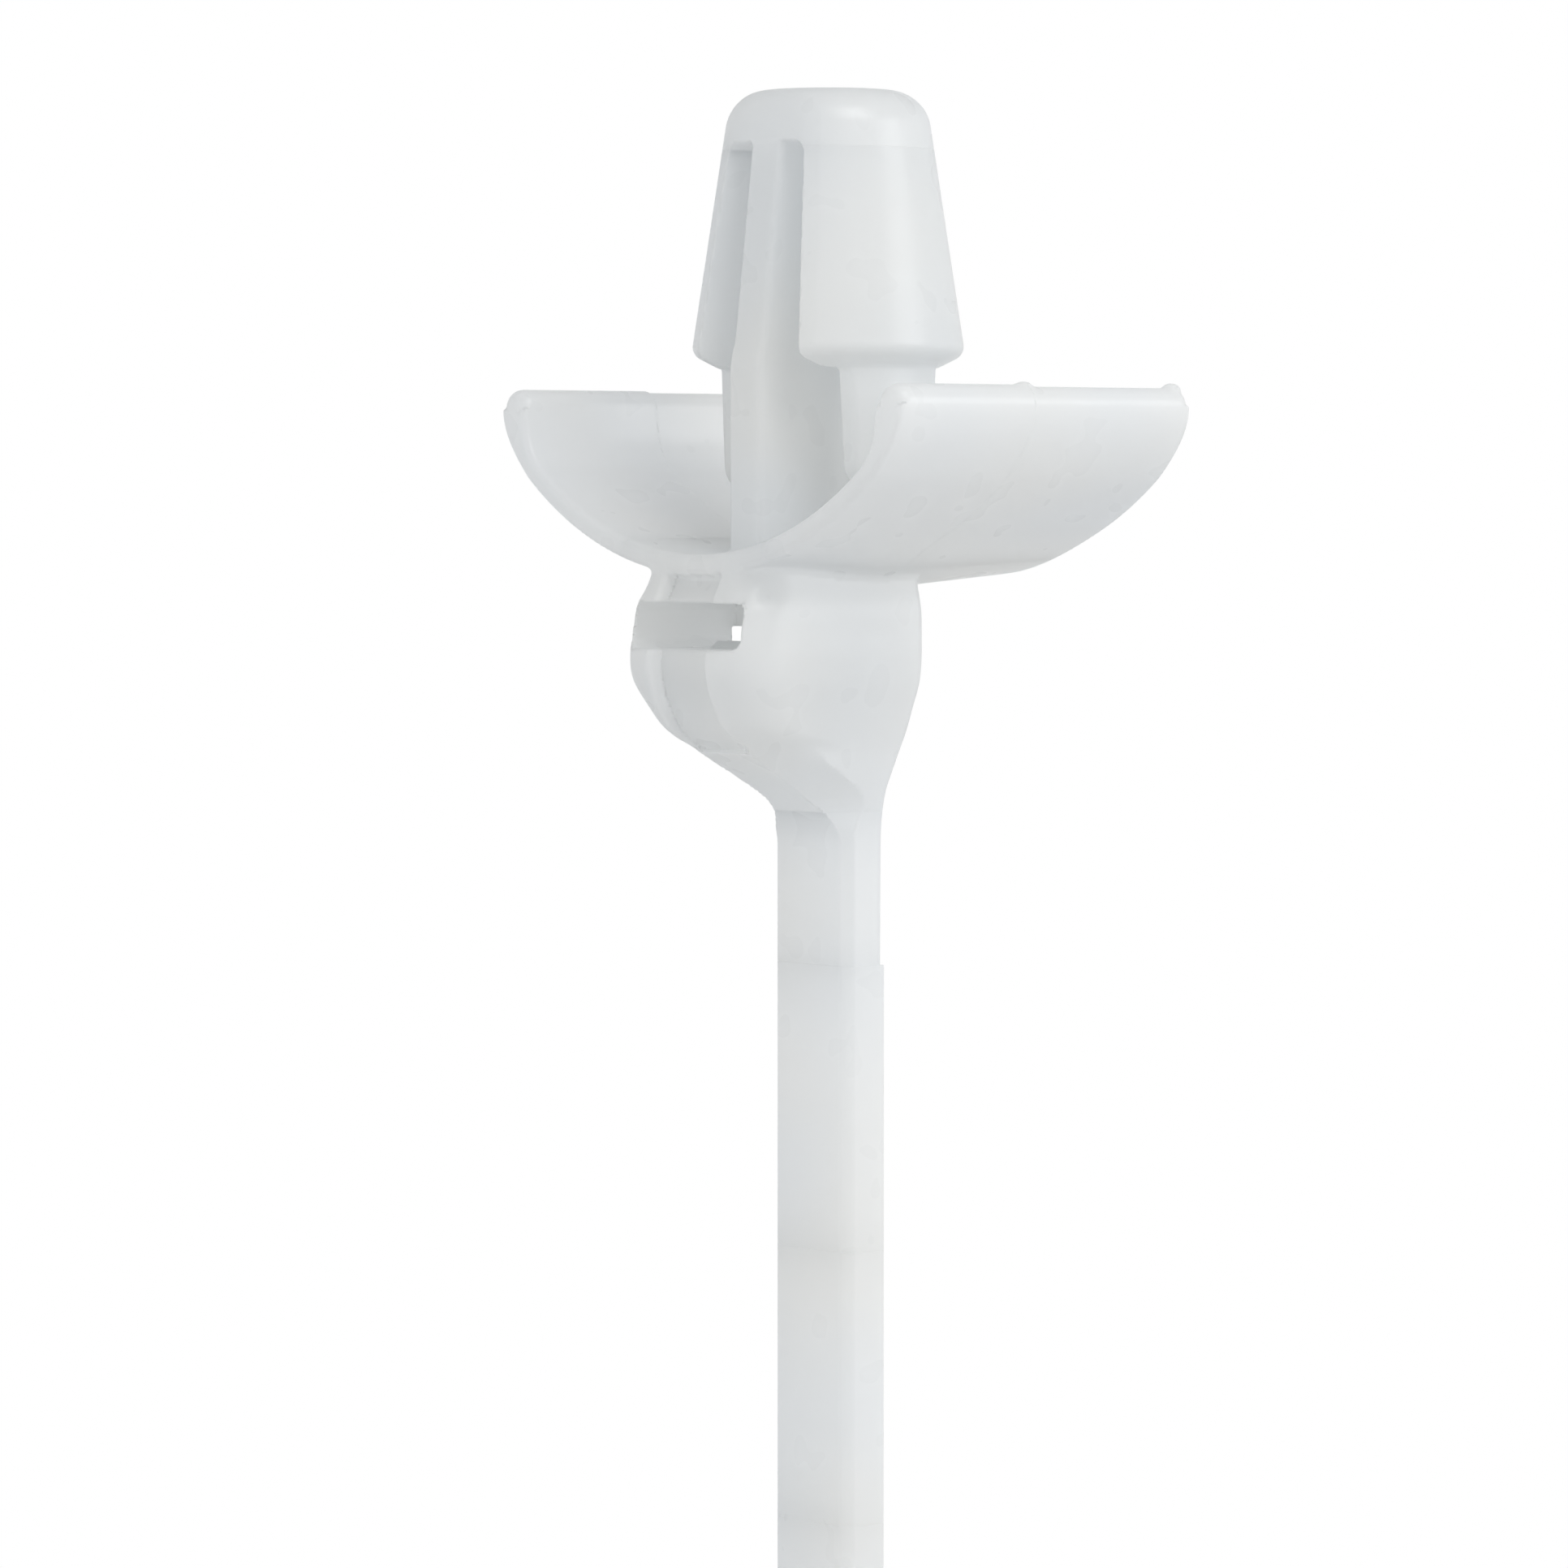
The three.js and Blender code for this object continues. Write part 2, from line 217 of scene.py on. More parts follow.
# Pawl
PAWL_ROOT_DROP = 0.6
PAWL_TOOTH = 0.3
PAWL_TOOTH_DEPTH = 0.22
PAWL_TIP_DEPTH = 0.66
PAWL_EDGE = 0.05
PAWL_SHARP_ANGLE = math.radians(50)

# Colours
NYLON_COOL = (0.875, 0.89, 0.9, 1)
NYLON_WARM = (0.895, 0.9, 0.895, 1)
SPECK_COLOUR = (0.3, 0.28, 0.25, 1)
TRANSLUCENCY = 0.6

# Surfaces: noise scales are per metre, and each bump is a strength and a depth in millimetres
NOISE_MIDDLE = (0.3, 0.7)
CLOUD_SCALE = 260
SPECK_SCALE = 190.0
SPECK_SIZE = (0.01, 0.02)
SPECK_SHADE = 0.45
GLOSS_SCALE = 900
GLOSS = (0.26, 0.36)
RIPPLE_SCALE = 650
RIPPLE = (0.15, 0.02)
GRAIN_SCALE = 4000
GRAIN = (0.1, 0.006)
NYLON_IOR = 1.53
COAT_WEIGHT = 0.5
COAT_ROUGHNESS = 0.22
FIBRE_SCALE = 60
FIBRE = (0.86, 0.9)
FLOOR_ROUGHNESS = 0.85

# Light and camera
WORLD_BELOW = (0.3, 0.3)
WORLD_HORIZON = (0.4, 0.6)
WORLD_ABOVE = (0.75, 0.55)
VIEW_AZIMUTH = math.radians(50)
VIEW_DISTANCE = 160
EYE_Z = -2.35
AIM_Z = -9.38
AIM_ASIDE = -1.04
LENS = 155
SENSOR_WIDTH = 36
CLIP_START = 0.01
LIGHT_AIM_Z = -5
SOFTBOXES = (
    ("key", (184, -16, 184), 150, 0.3, (1, 0.99, 0.98)),
    ("side", (208, 146, 55), 130, 0.16, (0.98, 0.99, 1)),
    ("fill", (-60, -220, 40), 160, 0.03, (0.95, 0.98, 1)),
)
FLOOR_Z = -95
FLOOR_HALF = 260


# Round joins of distances


def round_max(a, b, radius):
    """Where both solids are, with the shared edge rounded."""
    corner = np.hypot(np.maximum(a + radius, 0), np.maximum(b + radius, 0))
    return np.minimum(np.maximum(a, b), -radius) + corner


def round_min(a, b, radius):
    """Where either solid is, with a fillet between them."""
    return -round_max(-a, -b, radius)


def without(a, b, radius):
    return round_max(a, -b, radius)


def smooth_step(low, high, value):
    t = np.clip((value - low) / (high - low), 0, 1)
    return t * t * (3 - 2 * t)


def smooth_line(pairs):
    """A function of height through the pairs, with its corners eased, and its slope."""
    heights, values = np.array(pairs).T
    fine = np.arange(heights[0] - LINE_MARGIN, heights[-1] + LINE_MARGIN, LINE_STEP)
    reach = int(KERNEL_REACH * HEAD_SMOOTH / LINE_STEP)
    kernel = np.exp(-0.5 * (np.arange(-reach, reach + 1) * LINE_STEP / HEAD_SMOOTH) ** 2)
    padded = np.pad(np.interp(fine, heights, values), reach, mode="edge")
    eased = np.convolve(padded, kernel / kernel.sum(), mode="valid")
    slope = np.gradient(eased, fine)
    return lambda z: (np.interp(z, fine, eased), np.interp(z, fine, slope))


half_width = smooth_line(HALF_WIDTH)
front_depth = smooth_line(FRONT_DEPTH)
back_depth = smooth_line(BACK_DEPTH)


# The distance field, part by part


def cone_radius(z):
    return CONE_TOP_RADIUS + (CONE_TOP_Z - z) * CONE_TAPER


def arrowhead(x, y, z):
    """The nose and the two barbs, then the web and the barbs' tails."""
    across = np.abs(x)
    depth = np.abs(y)
    radius = np.hypot(x, y)
    level = cone_radius(z)
    shell = round_max(radius - level, z - NOSE_TOP, NOSE_EDGE)
    shell = round_max(shell, depth - FLAT_SHARE * level, FLAT_ROUND)
    slope = (LIP_Z - LIP_INNER_Z) / (LIP_RADIUS - LIP_INNER_RADIUS)
    underside = LIP_INNER_Z + slope * np.maximum(radius - LIP_INNER_RADIUS, 0)
    shell = round_max(shell, underside - z, LIP_ROUND)
    pocket = round_max(across - (BARB_SHARE * level - BARB_RIM), z - CONE_TOP_Z, POCKET_ROUND)
    head = without(shell, pocket, POCKET_EDGE)

    front = FLAT_SHARE * cone_radius(np.maximum(z, LIP_Z))
    flare = smooth_step(LIP_Z + OVERLAP, LIP_Z - OVERLAP, z)
    front = front + (WEB_DEPTH - FLAT_SHARE * LIP_RADIUS) * flare
    ridge = WEB_RIDGE * smooth_step(front - RIDGE_START, front - RIDGE_END, depth)
    web = round_max(across - WEB_HALF - ridge, depth - front + WEB_INSET, WEB_ROUND)
    web = np.maximum(np.maximum(web, WING_FLOOR - z), z - CONE_TOP_Z - OVERLAP)

    share = np.clip((LIP_INNER_Z - z) / (LIP_INNER_Z - TAIL_BOTTOM), 0, 1)
    reach = TAIL_DEPTH_TOP - share * (TAIL_DEPTH_TOP - TAIL_DEPTH_END)
    tail = round_max(depth - reach, TAIL_BOTTOM - z, TAIL_ROUND)
    tail = round_max(tail, np.maximum(radius - TAIL_RADIUS, TAIL_INSIDE - across), TAIL_EDGE)
    tail = np.maximum(tail, z - LIP_Z - OVERLAP)
    return round_min(round_min(head, tail, TAIL_FILLET), web, WEB_FILLET)


def wing_curl():
    """The tighter arc that carries a wing from its sweep up to its bead: start angle and centre."""
    top = WING_FLOOR + WING_RADIUS
    reach = WING_RADIUS - CURL_RADIUS
    away = math.hypot(BEAD[0], top - BEAD[1])
    turn = math.acos((reach**2 + away**2 - CURL_RADIUS**2) / (2 * reach * away))
    angle = math.atan2(BEAD[0], top - BEAD[1]) - turn
    return angle, reach * math.sin(angle), top - reach * math.cos(angle)


def wings(x, y, z):
    """The sprung arc with a rib beside the head, a bead along each tip, and two small nibs."""
    across = np.abs(x)
    centre = WING_FLOOR + WING_RADIUS
    step = PARTING_STEP * smooth_step(-PARTING_BLEND, PARTING_BLEND, y)
    angle, curl_x, curl_z = wing_curl()
    turned = (across - curl_x) * math.cos(angle) + (z - curl_z) * math.sin(angle)
    sweep = np.hypot(x, z - centre) - WING_RADIUS
    curl = np.hypot(across - curl_x, z - curl_z) - CURL_RADIUS
    off = np.where(turned > 0, curl, sweep)
    rib = RIB_DEPTH - RIB_TAPER * np.maximum(y - RIB_FROM, 0)
    rib = rib * smooth_step(*RIB_RISE, y) * (1 - smooth_step(*RIB_SPAN, across))
    girth = WING_HALF + (BEAD[2] - WING_HALF) * smooth_step(*BEAD_SWELL, z) * (turned > 0)
    arc = np.maximum(off - np.maximum(rib, 0), -off) - girth + step
    arc = np.maximum(arc, z - BEAD[1])
    middle, reach = (WING_BACK + WING_FRONT) / 2, (WING_BACK - WING_FRONT) / 2
    arc = round_max(arc, np.abs(y - middle) - reach, WING_EDGE)
    bead = np.hypot(across - BEAD[0], z - BEAD[1]) - BEAD[2] + step
    bead = round_max(bead, np.abs(y - middle) - reach, BEAD_END)
    both = np.minimum(arc, bead)
    for place in NIB_PLACES:
        lift = np.hypot((x - BEAD[0]) / NIB_SIZE[0], (y - place) / NIB_SIZE[1])
        nib = np.hypot(lift, (z - BEAD[1] - BEAD[2] + NIB_SINK) / NIB_SIZE[2]) - 1
        both = round_min(both, nib * NIB_SIZE[2], NIB_FILLET)
    return both


def tie_head(x, y, z):
    """The ratchet head and the top of the strap, hollowed by the slot and the pawl's cavity."""
    across = np.abs(x)
    width, width_slope = half_width(z)
    reach, reach_slope = front_depth(z)
    back, back_slope = back_depth(z)
    side = (across - width) / np.hypot(1, width_slope)
    front = (-y - reach) / np.hypot(1, reach_slope)
    rear = (y - back) / np.hypot(1, back_slope)
    corner = np.hypot(
        np.maximum(side / CORNER_HEAD[0] + 1, 0), np.maximum(front / CORNER_HEAD[1] + 1, 0)
    )
    rounded = np.where(np.maximum(side, front) < -1, -1, (corner - 1) * CORNER_HEAD[0])
    chamfer = CHAMFER + CHAMFER_GROWTH * smooth_step(CHAMFER_LOW, CHAMFER_HIGH, z)
    chamfered = np.maximum(np.maximum(side, front), (side + front + chamfer) * math.sqrt(0.5))
    mix = smooth_step(CHAMFER_TO, CHAMFER_FROM, z)
    body = rounded * mix + chamfered * (1 - mix)
    rear_round = REAR_ROUND + (REAR_RIM - REAR_ROUND) * smooth_step(*REAR_BLEND, z)
    body = round_max(body, rear, rear_round)

    recess = np.maximum(across - RECESS_HALF, y + reach - RECESS_DEPTH)
    recess = round_max(recess, np.maximum(RECESS_BOTTOM - z, z - RECESS_TOP), RECESS_CORNER)
    body = without(body, recess, RECESS_EDGE)
    centre = WING_FLOOR + WING_RADIUS
    body = np.maximum(body, WING_RADIUS - np.hypot(x, z - centre))

    band = np.maximum(SLOT_BOTTOM - z, z - SLOT_TOP)
    mouth = round_max(across - MOUTH_HALF, band, MOUTH_CORNER)
    mouth = np.maximum(mouth, y - MOUTH_BACK)
    slot = np.maximum(across - SLOT_HALF, band)
    cavity = np.maximum(across - CAVITY_HALF, np.maximum(CAVITY_FRONT - y, y - CAVITY_BACK))
    cavity = np.maximum(cavity, np.maximum(CAVITY_FLOOR - z, z - SLOT_TOP))
    window = np.maximum(np.abs(y - WINDOW[1]) - WINDOW_SIZE[1], np.abs(z - WINDOW[2]) - WINDOW_SIZE[2])
    window = np.maximum(window, np.abs(x - WINDOW[0]) - WINDOW_SIZE[0])
    hollow = np.minimum(np.minimum(mouth, slot), np.minimum(cavity, window))
    return without(body, hollow, SLOT_EDGE)


def moulding(x, y, z):
    below = round_min(tie_head(x, y, z), wings(x, y, z), WING_FILLET)
    return round_min(below, arrowhead(x, y, z), ANCHOR_FILLET)


# Surface nets


def corner_slices(shape, offset):
    return tuple(slice(o, o + n - 1) for o, n in zip(offset, shape))


def surface_nets(values, low, step):
    """Vertices and quads of the zero level of values on a grid."""
    shape = values.shape
    inside = values < 0
    count = np.zeros([n - 1 for n in shape], np.int8)
    for offset in np.ndindex(2, 2, 2):
        count += inside[corner_slices(shape, offset)]
    active = (count > 0) & (count < 8)
    cells = np.argwhere(active)
    index = np.full(active.shape, -1, np.int64)
    index[active] = np.arange(len(cells))
    total = np.zeros((len(cells), 3))
    crossed = np.zeros(len(cells))
    for axis in range(3):
        unit = np.eye(3, dtype=int)[axis]
        for offset in np.ndindex(2, 2, 2):
            if offset[axis]:
                continue
            near = cells + offset
            far = near + unit
            a = values[tuple(near.T)]
            b = values[tuple(far.T)]
            hit = (a < 0) != (b < 0)
            share = a[hit] / (a[hit] - b[hit])
            total[hit] += np.array(offset) + share[:, None] * unit
            crossed[hit] += 1
    vertices = (cells + total / crossed[:, None]) * step + np.array(low)

    quads = []
    for axis in range(3):
        u, v = (axis + 1) % 3, (axis + 2) % 3
        along = np.eye(3, dtype=int)[axis]
        one, other = np.eye(3, dtype=int)[u], np.eye(3, dtype=int)[v]
        size = [n - along[i] for i, n in enumerate(shape)]
        start = inside[tuple(slice(0, n) for n in size)]
        end = inside[tuple(slice(along[i], along[i] + n) for i, n in enumerate(size))]
        points = np.argwhere(start != end)
        points = points[(points[:, u] > 0) & (points[:, v] > 0)]
        points = points[(points[:, u] < shape[u] - 1) & (points[:, v] < shape[v] - 1)]
        ring = [points, points - one, points - one - other, points - other]
        quad = np.stack([index[tuple(p.T)] for p in ring], axis=1)
        outward = start[tuple(points.T)]
        quads.append(np.where(outward[:, None], quad, quad[:, ::-1]))
    return vertices, np.concatenate(quads)


def field_normals(points):
    """Unit gradients of the moulding's field, and the gradients' lengths."""
    reach = SLOPE_REACH
    x, y, z = points.T
    slopes = np.stack(
        [
            moulding(x + reach, y, z) - moulding(x - reach, y, z),
            moulding(x, y + reach, z) - moulding(x, y - reach, z),
            moulding(x, y, z + reach) - moulding(x, y, z - reach),
        ],
        axis=1,
    ) / (2 * reach)
    length = np.maximum(np.linalg.norm(slopes, axis=1, keepdims=True), SHORTEST_SLOPE)
    return slopes / length, length


def meshed_moulding():
    step = DETAIL_STEP
    axes = [np.arange(a, b, step) for a, b in zip(FIELD_LOW, FIELD_HIGH)]
    x, y, z = np.meshgrid(*axes, indexing="ij", sparse=True)
    values = moulding(x, y, z)
    vertices, quads = surface_nets(values, FIELD_LOW, step)
    for _ in range(2):
        unit, length = field_normals(vertices)
        distance = moulding(*vertices.T)[:, None] / length
        vertices -= unit * np.clip(distance, -step / 2, step / 2)
    return vertices, quads


# Pieces


def on_barbs(centre):
    return centre.z > LIP_Z and abs(centre.x) > BARB_INNER


def on_wings(centre):
    return centre.z < TAIL_BOTTOM - WINGS_BELOW_TAIL


def on_strap(centre):
    return centre.z < CHAMFER_TO


CUTS = (
    ((0, 0, BARB_CUT), (0, 0, 1), on_barbs),
    ((WING_CUT, 0, 0), (1, 0, 0), on_wings),
    ((-WING_CUT, 0, 0), (1, 0, 0), on_wings),
    ((0, 0, NECK_CUT), (0, 0, 1), on_strap),
    ((0, 0, STEP_LINE), (0, 0, 1), on_strap),
)


def in_seam(centre):
    """Whether a point lies in the hair's breadth left open where two pieces meet."""
    distances = (
        (centre - Vector(place)).dot(Vector(normal))
        for place, normal, reached in CUTS
        if reached(centre)
    )
    return any(abs(distance) < SEAM_GAP / 2 for distance in distances)


def piece_name(centre):
    x, y, z = centre
    if z < NECK_CUT:
        return "neck"
    side = "right" if x > 0 else "left"
    low, outer = TAIL_BOTTOM - PIECE_MARGIN, LIP_RADIUS + PIECE_MARGIN
    if low < z < BARB_CUT and BARB_INNER < abs(x) < outer:
        return f"barb_{side}"
    if abs(x) > WING_CUT:
        return f"wing_{side}"
    return "body"


def divided(vertices, quads):
    """The moulding's mesh cut where it flexes: a bmesh for each piece, with its cuts closed."""
    whole = bmesh.new()
    corners = [whole.verts.new(v) for v in vertices.tolist()]
    for quad in quads.tolist():
        whole.faces.new([corners[i] for i in quad])
    for place, normal, reached in CUTS:
        for side in (-1, 1):
            point = Vector(place) + Vector(normal) * side * SEAM_GAP / 2
            faces = [f for f in whole.faces if reached(f.calc_center_median())]
            edges = {e for f in faces for e in f.edges}
            corners = {v for f in faces for v in f.verts}
            parts = [*corners, *edges, *faces]
            bmesh.ops.bisect_plane(
                whole, geom=parts, plane_co=point, plane_no=normal, dist=CUT_TOLERANCE
            )
    groups = {}
    for face in whole.faces:
        centre = face.calc_center_median()
        if centre.z > STEP_LINE and not in_seam(centre):
            groups.setdefault(piece_name(centre), []).append(face)
    pieces = {}
    for name, faces in groups.items():
        part = bmesh.new()
        made = {v: part.verts.new(v.co) for v in {v: None for f in faces for v in f.verts}}
        for face in faces:
            part.faces.new([made[v] for v in face.verts])
        open_edges = [edge for edge in part.edges if edge.is_boundary]
        bmesh.ops.holes_fill(part, edges=open_edges, sides=0)
        pieces[name] = part
    whole.free()
    return pieces


def placed(mesh, name):
    mesh.transform(Matrix.Scale(MM, 4))
    mesh.materials.append(nylon)
    item = bpy.data.objects.new(name, mesh)
    bpy.context.scene.collection.objects.link(item)
    return item


def finished(part, name):
    """A piece's object, with the field's own normals everywhere but on its closed cuts."""
    mesh = bpy.data.meshes.new(name)
    part.normal_update()
    part.to_mesh(mesh)
    part.free()
    points = np.zeros(3 * len(mesh.vertices))
    mesh.vertices.foreach_get("co", points)
    corners = np.zeros(len(mesh.loops), np.int32)
    mesh.loops.foreach_get("vertex_index", corners)
    flat = np.zeros(3 * len(mesh.polygons))
    mesh.polygons.foreach_get("normal", flat)
    sides = np.zeros(len(mesh.polygons), np.int32)
    mesh.polygons.foreach_get("loop_total", sides)
    own = np.repeat(flat.reshape(-1, 3), sides, axis=0)
    units, _ = field_normals(points.reshape(-1, 3))
    eased = units[corners]
    agrees = np.sum(eased * own, axis=1) > CAP_AGREEMENT
    normals = np.where(agrees[:, None], eased, own)
    mesh.polygons.foreach_set("use_smooth", [True] * len(mesh.polygons))
    mesh.normals_split_custom_set(normals.tolist())
    return placed(mesh, name)


def swept(rings, name, sharp_angle):
    """A closed skin over equal rings of points, top ring first."""
    mesh = bpy.data.meshes.new(name)
    count = len(rings[0])
    faces = [list(range(count))]
    for level in range(len(rings) - 1):
        upper, lower = level * count, (level + 1) * count
        for i in range(count):
            j = (i + 1) % count
            faces.append([upper + i, lower + i, lower + j, upper + j])
    faces.append([(len(rings) - 1) * count + i for i in reversed(range(count))])
    mesh.from_pydata([point for ring in rings for point in ring], [], faces)
    mesh.shade_smooth()
    mesh.set_sharp_from_angle(angle=sharp_angle)
    return placed(mesh, name)


# Strap


def strap_ring(z, half, back, depth):
    """The strap's outline at a height, seen from above: chamfered in front, rimmed behind."""
    front = -STRAP_HALF_THICKNESS
    chamfer = min(CHAMFER, half / 4)
    floor = back - depth
    tooth = min(TOOTH_HALF, half - 2 * SOFT_EDGE - CHAMFER)
    right = [
        (tooth, floor),
        (tooth + SOFT_EDGE, back),
        (half - SOFT_EDGE, back),
        (half, back - SOFT_EDGE),
        (half, front + chamfer + SOFT_EDGE),
        (half - SOFT_EDGE / 2, front + chamfer - SOFT_EDGE / 2),
        (half - chamfer + SOFT_EDGE / 2, front + SOFT_EDGE / 2),
        (half - chamfer - SOFT_EDGE, front),
    ]
    outline = [(-x, y) for x, y in right] + right[::-1]
    return [(x, y, z) for x, y in outline]


def tooth_levels(top, bottom, teeth_top):
    """(height, depth) of the ratchet's rings between two heights, from the top."""
    levels = []
    count = int((teeth_top - bottom) / TOOTH_PITCH) + 1
    for i in range(count):
        high = teeth_top - i * TOOTH_PITCH - TOOTH_LAND
        levels += [
            (high, 0),
            (high - TOOTH_STEEP, TOOTH_DEPTH),
            (high - TOOTH_PITCH + 2 * TOOTH_LAND, 0),
        ]
    return [(z, d) for z, d in levels if bottom + TOOTH_LAND / 2 < z < top - TOOTH_LAND / 2]


def strap_stretch(top, bottom, teeth_top, name):
    """One stretch of strap between two heights."""
    top, bottom = top - SEAM_GAP / 2, bottom + SEAM_GAP / 2
    levels = tooth_levels(top, bottom, teeth_top)
    if levels and levels[0][1] > 0:
        levels = levels[1:]
    plain = np.arange(top - RING_STEP, max(bottom, teeth_top), -RING_STEP)
    levels = [(top, 0), *((z, 0) for z in plain), *levels, (bottom, 0)]
    rings = [
        strap_ring(z, STRAP_HALF_WIDTH, STRAP_HALF_THICKNESS, depth)
        for z, depth in sorted(levels, reverse=True)
    ]
    return swept(rings, name, SHARP_ANGLE)


def strap_end(top, tip_top, bottom, name):
    """The last stretch, which narrows and thins to the tip that is threaded first."""
    rings = [
        strap_ring(z, STRAP_HALF_WIDTH, STRAP_HALF_THICKNESS, 0)
        for z in np.arange(top - SEAM_GAP / 2, tip_top, -RING_STEP)
    ]
    length = tip_top - bottom
    for share in np.linspace(0, 1, TIP_RINGS):
        z = tip_top - share * (length - TIP_CORNER)
        half = STRAP_HALF_WIDTH - share * (STRAP_HALF_WIDTH - TIP_HALF)
        back = STRAP_HALF_THICKNESS - TOOTH_DEPTH - share * TIP_THINNING
        rings.append(strap_ring(z, half, back, 0))
    for share in TIP_ROUND_SHARES:
        half = TIP_HALF - TIP_CORNER * (1 - math.sqrt(1 - share * share))
        back = STRAP_HALF_THICKNESS - TOOTH_DEPTH - TIP_THINNING * (1 + share / TIP_EASE)
        rings.append(strap_ring(bottom + TIP_CORNER * (1 - share), half, back, 0))
    return swept(rings, name, SHARP_ANGLE)


# Pawl


def pawl_piece():
    """The sprung tongue under the slot, with two teeth at its free end."""
    low, high = (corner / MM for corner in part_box("pawl"))
    root, tip = high.y, low.y
    outline = [
        (root, low.z),
        (root, high.z - PAWL_ROOT_DROP),
        (tip + 2 * PAWL_TOOTH, high.z - PAWL_TOOTH_DEPTH),
        (tip + 2 * PAWL_TOOTH, high.z),
        (tip + PAWL_TOOTH, high.z - PAWL_TOOTH_DEPTH),
        (tip + PAWL_TOOTH, high.z),
        (tip, high.z - PAWL_TOOTH_DEPTH),
        (tip, high.z - PAWL_TIP_DEPTH),
    ]
    shape = bmesh.new()
    face = shape.faces.new([shape.verts.new((low.x, y, z)) for y, z in outline])
    pushed = bmesh.ops.extrude_face_region(shape, geom=[face])["geom"]
    moved = [item for item in pushed if isinstance(item, bmesh.types.BMVert)]
    bmesh.ops.translate(shape, verts=moved, vec=(high.x - low.x, 0, 0))
    bmesh.ops.recalc_face_normals(shape, faces=shape.faces[:])
    edges = shape.edges[:]
    bmesh.ops.bevel(
        shape, geom=edges, offset=PAWL_EDGE, segments=2, affect="EDGES", clamp_overlap=True
    )
    mesh = bpy.data.meshes.new("pawl_tongue")
    shape.to_mesh(mesh)
    shape.free()
    mesh.shade_smooth()
    mesh.set_sharp_from_angle(angle=PAWL_SHARP_ANGLE)
    return placed(mesh, "pawl_tongue")


# Materials


def linked(tree, kind, inputs=None, **settings):
    """A node with its settings, socket values and incoming links."""
    node = tree.nodes.new(kind)
    for key, value in settings.items():
        setattr(node, key, value)
    for key, value in (inputs or {}).items():
        if isinstance(value, bpy.types.NodeSocket):
            tree.links.new(value, node.inputs[key])
        else:
            node.inputs[key].default_value = value
    return node


def noise(tree, place, scale, detail=3.0, roughness=0.5):
    values = {"Vector": place, "Scale": scale, "Detail": detail, "Roughness": roughness}
    return linked(tree, "ShaderNodeTexNoise", values)


def spread(tree, value, low, high):
    """A noise value stretched from its middle range to low..high."""
    start, end = NOISE_MIDDLE
    values = {"Value": value, "From Min": start, "From Max": end, "To Min": low, "To Max": high}
    return linked(tree, "ShaderNodeMapRange", values)


def nylon_material():
    """Milky natural nylon: light passes through it, and its skin has a soft uneven gloss."""
    material = bpy.data.materials.new("natural_nylon")
    material.use_nodes = True
    tree = material.node_tree
    shader = tree.nodes["Principled BSDF"]
    place = tree.nodes.new("ShaderNodeTexCoord").outputs["Object"]

    cloud = noise(tree, place, CLOUD_SCALE, 0.0)
    shade = spread(tree, cloud.outputs["Fac"], 0, 1)
    tint = linked(
        tree,
        "ShaderNodeMix",
        {"Factor": shade.outputs["Result"], "A": NYLON_COOL, "B": NYLON_WARM},
        data_type="RGBA",
    )
    grains = linked(
        tree, "ShaderNodeTexVoronoi", {"Vector": place, "Scale": SPECK_SCALE, "Randomness": 1.0}
    )
    speck = linked(
        tree,
        "ShaderNodeMapRange",
        {
            "Value": grains.outputs["Distance"],
            "From Min": SPECK_SIZE[0],
            "From Max": SPECK_SIZE[1],
            "To Min": SPECK_SHADE,
            "To Max": 1.0,
        },
    )
    clear = linked(
        tree,
        "ShaderNodeMix",
        {"Factor": speck.outputs["Result"], "A": SPECK_COLOUR, "B": tint.outputs["Result"]},
        data_type="RGBA",
    )
    tree.links.new(clear.outputs["Result"], shader.inputs["Base Color"])

    gloss = spread(tree, noise(tree, place, GLOSS_SCALE, 1.0).outputs["Fac"], *GLOSS)
    tree.links.new(gloss.outputs["Result"], shader.inputs["Roughness"])

    ripple = noise(tree, place, RIPPLE_SCALE, 2.0)
    grain = noise(tree, place, GRAIN_SCALE, 2.0)
    wave = linked(
        tree,
        "ShaderNodeBump",
        {"Height": ripple.outputs["Fac"], "Strength": RIPPLE[0], "Distance": RIPPLE[1] * MM},
    )
    skin = linked(
        tree,
        "ShaderNodeBump",
        {
            "Height": grain.outputs["Fac"],
            "Strength": GRAIN[0],
            "Distance": GRAIN[1] * MM,
            "Normal": wave.outputs["Normal"],
        },
    )
    tree.links.new(skin.outputs["Normal"], shader.inputs["Normal"])
    shader.inputs["IOR"].default_value = NYLON_IOR
    shader.inputs["Coat Weight"].default_value = COAT_WEIGHT
    shader.inputs["Coat Roughness"].default_value = COAT_ROUGHNESS
    through = linked(
        tree,
        "ShaderNodeBsdfTranslucent",
        {"Color": clear.outputs["Result"], "Normal": wave.outputs["Normal"]},
    )
    milky = linked(tree, "ShaderNodeMixShader", {"Fac": TRANSLUCENCY})
    tree.links.new(shader.outputs["BSDF"], milky.inputs[1])
    tree.links.new(through.outputs["BSDF"], milky.inputs[2])
    output = tree.nodes["Material Output"]
    tree.links.new(milky.outputs["Shader"], output.inputs["Surface"])
    return material


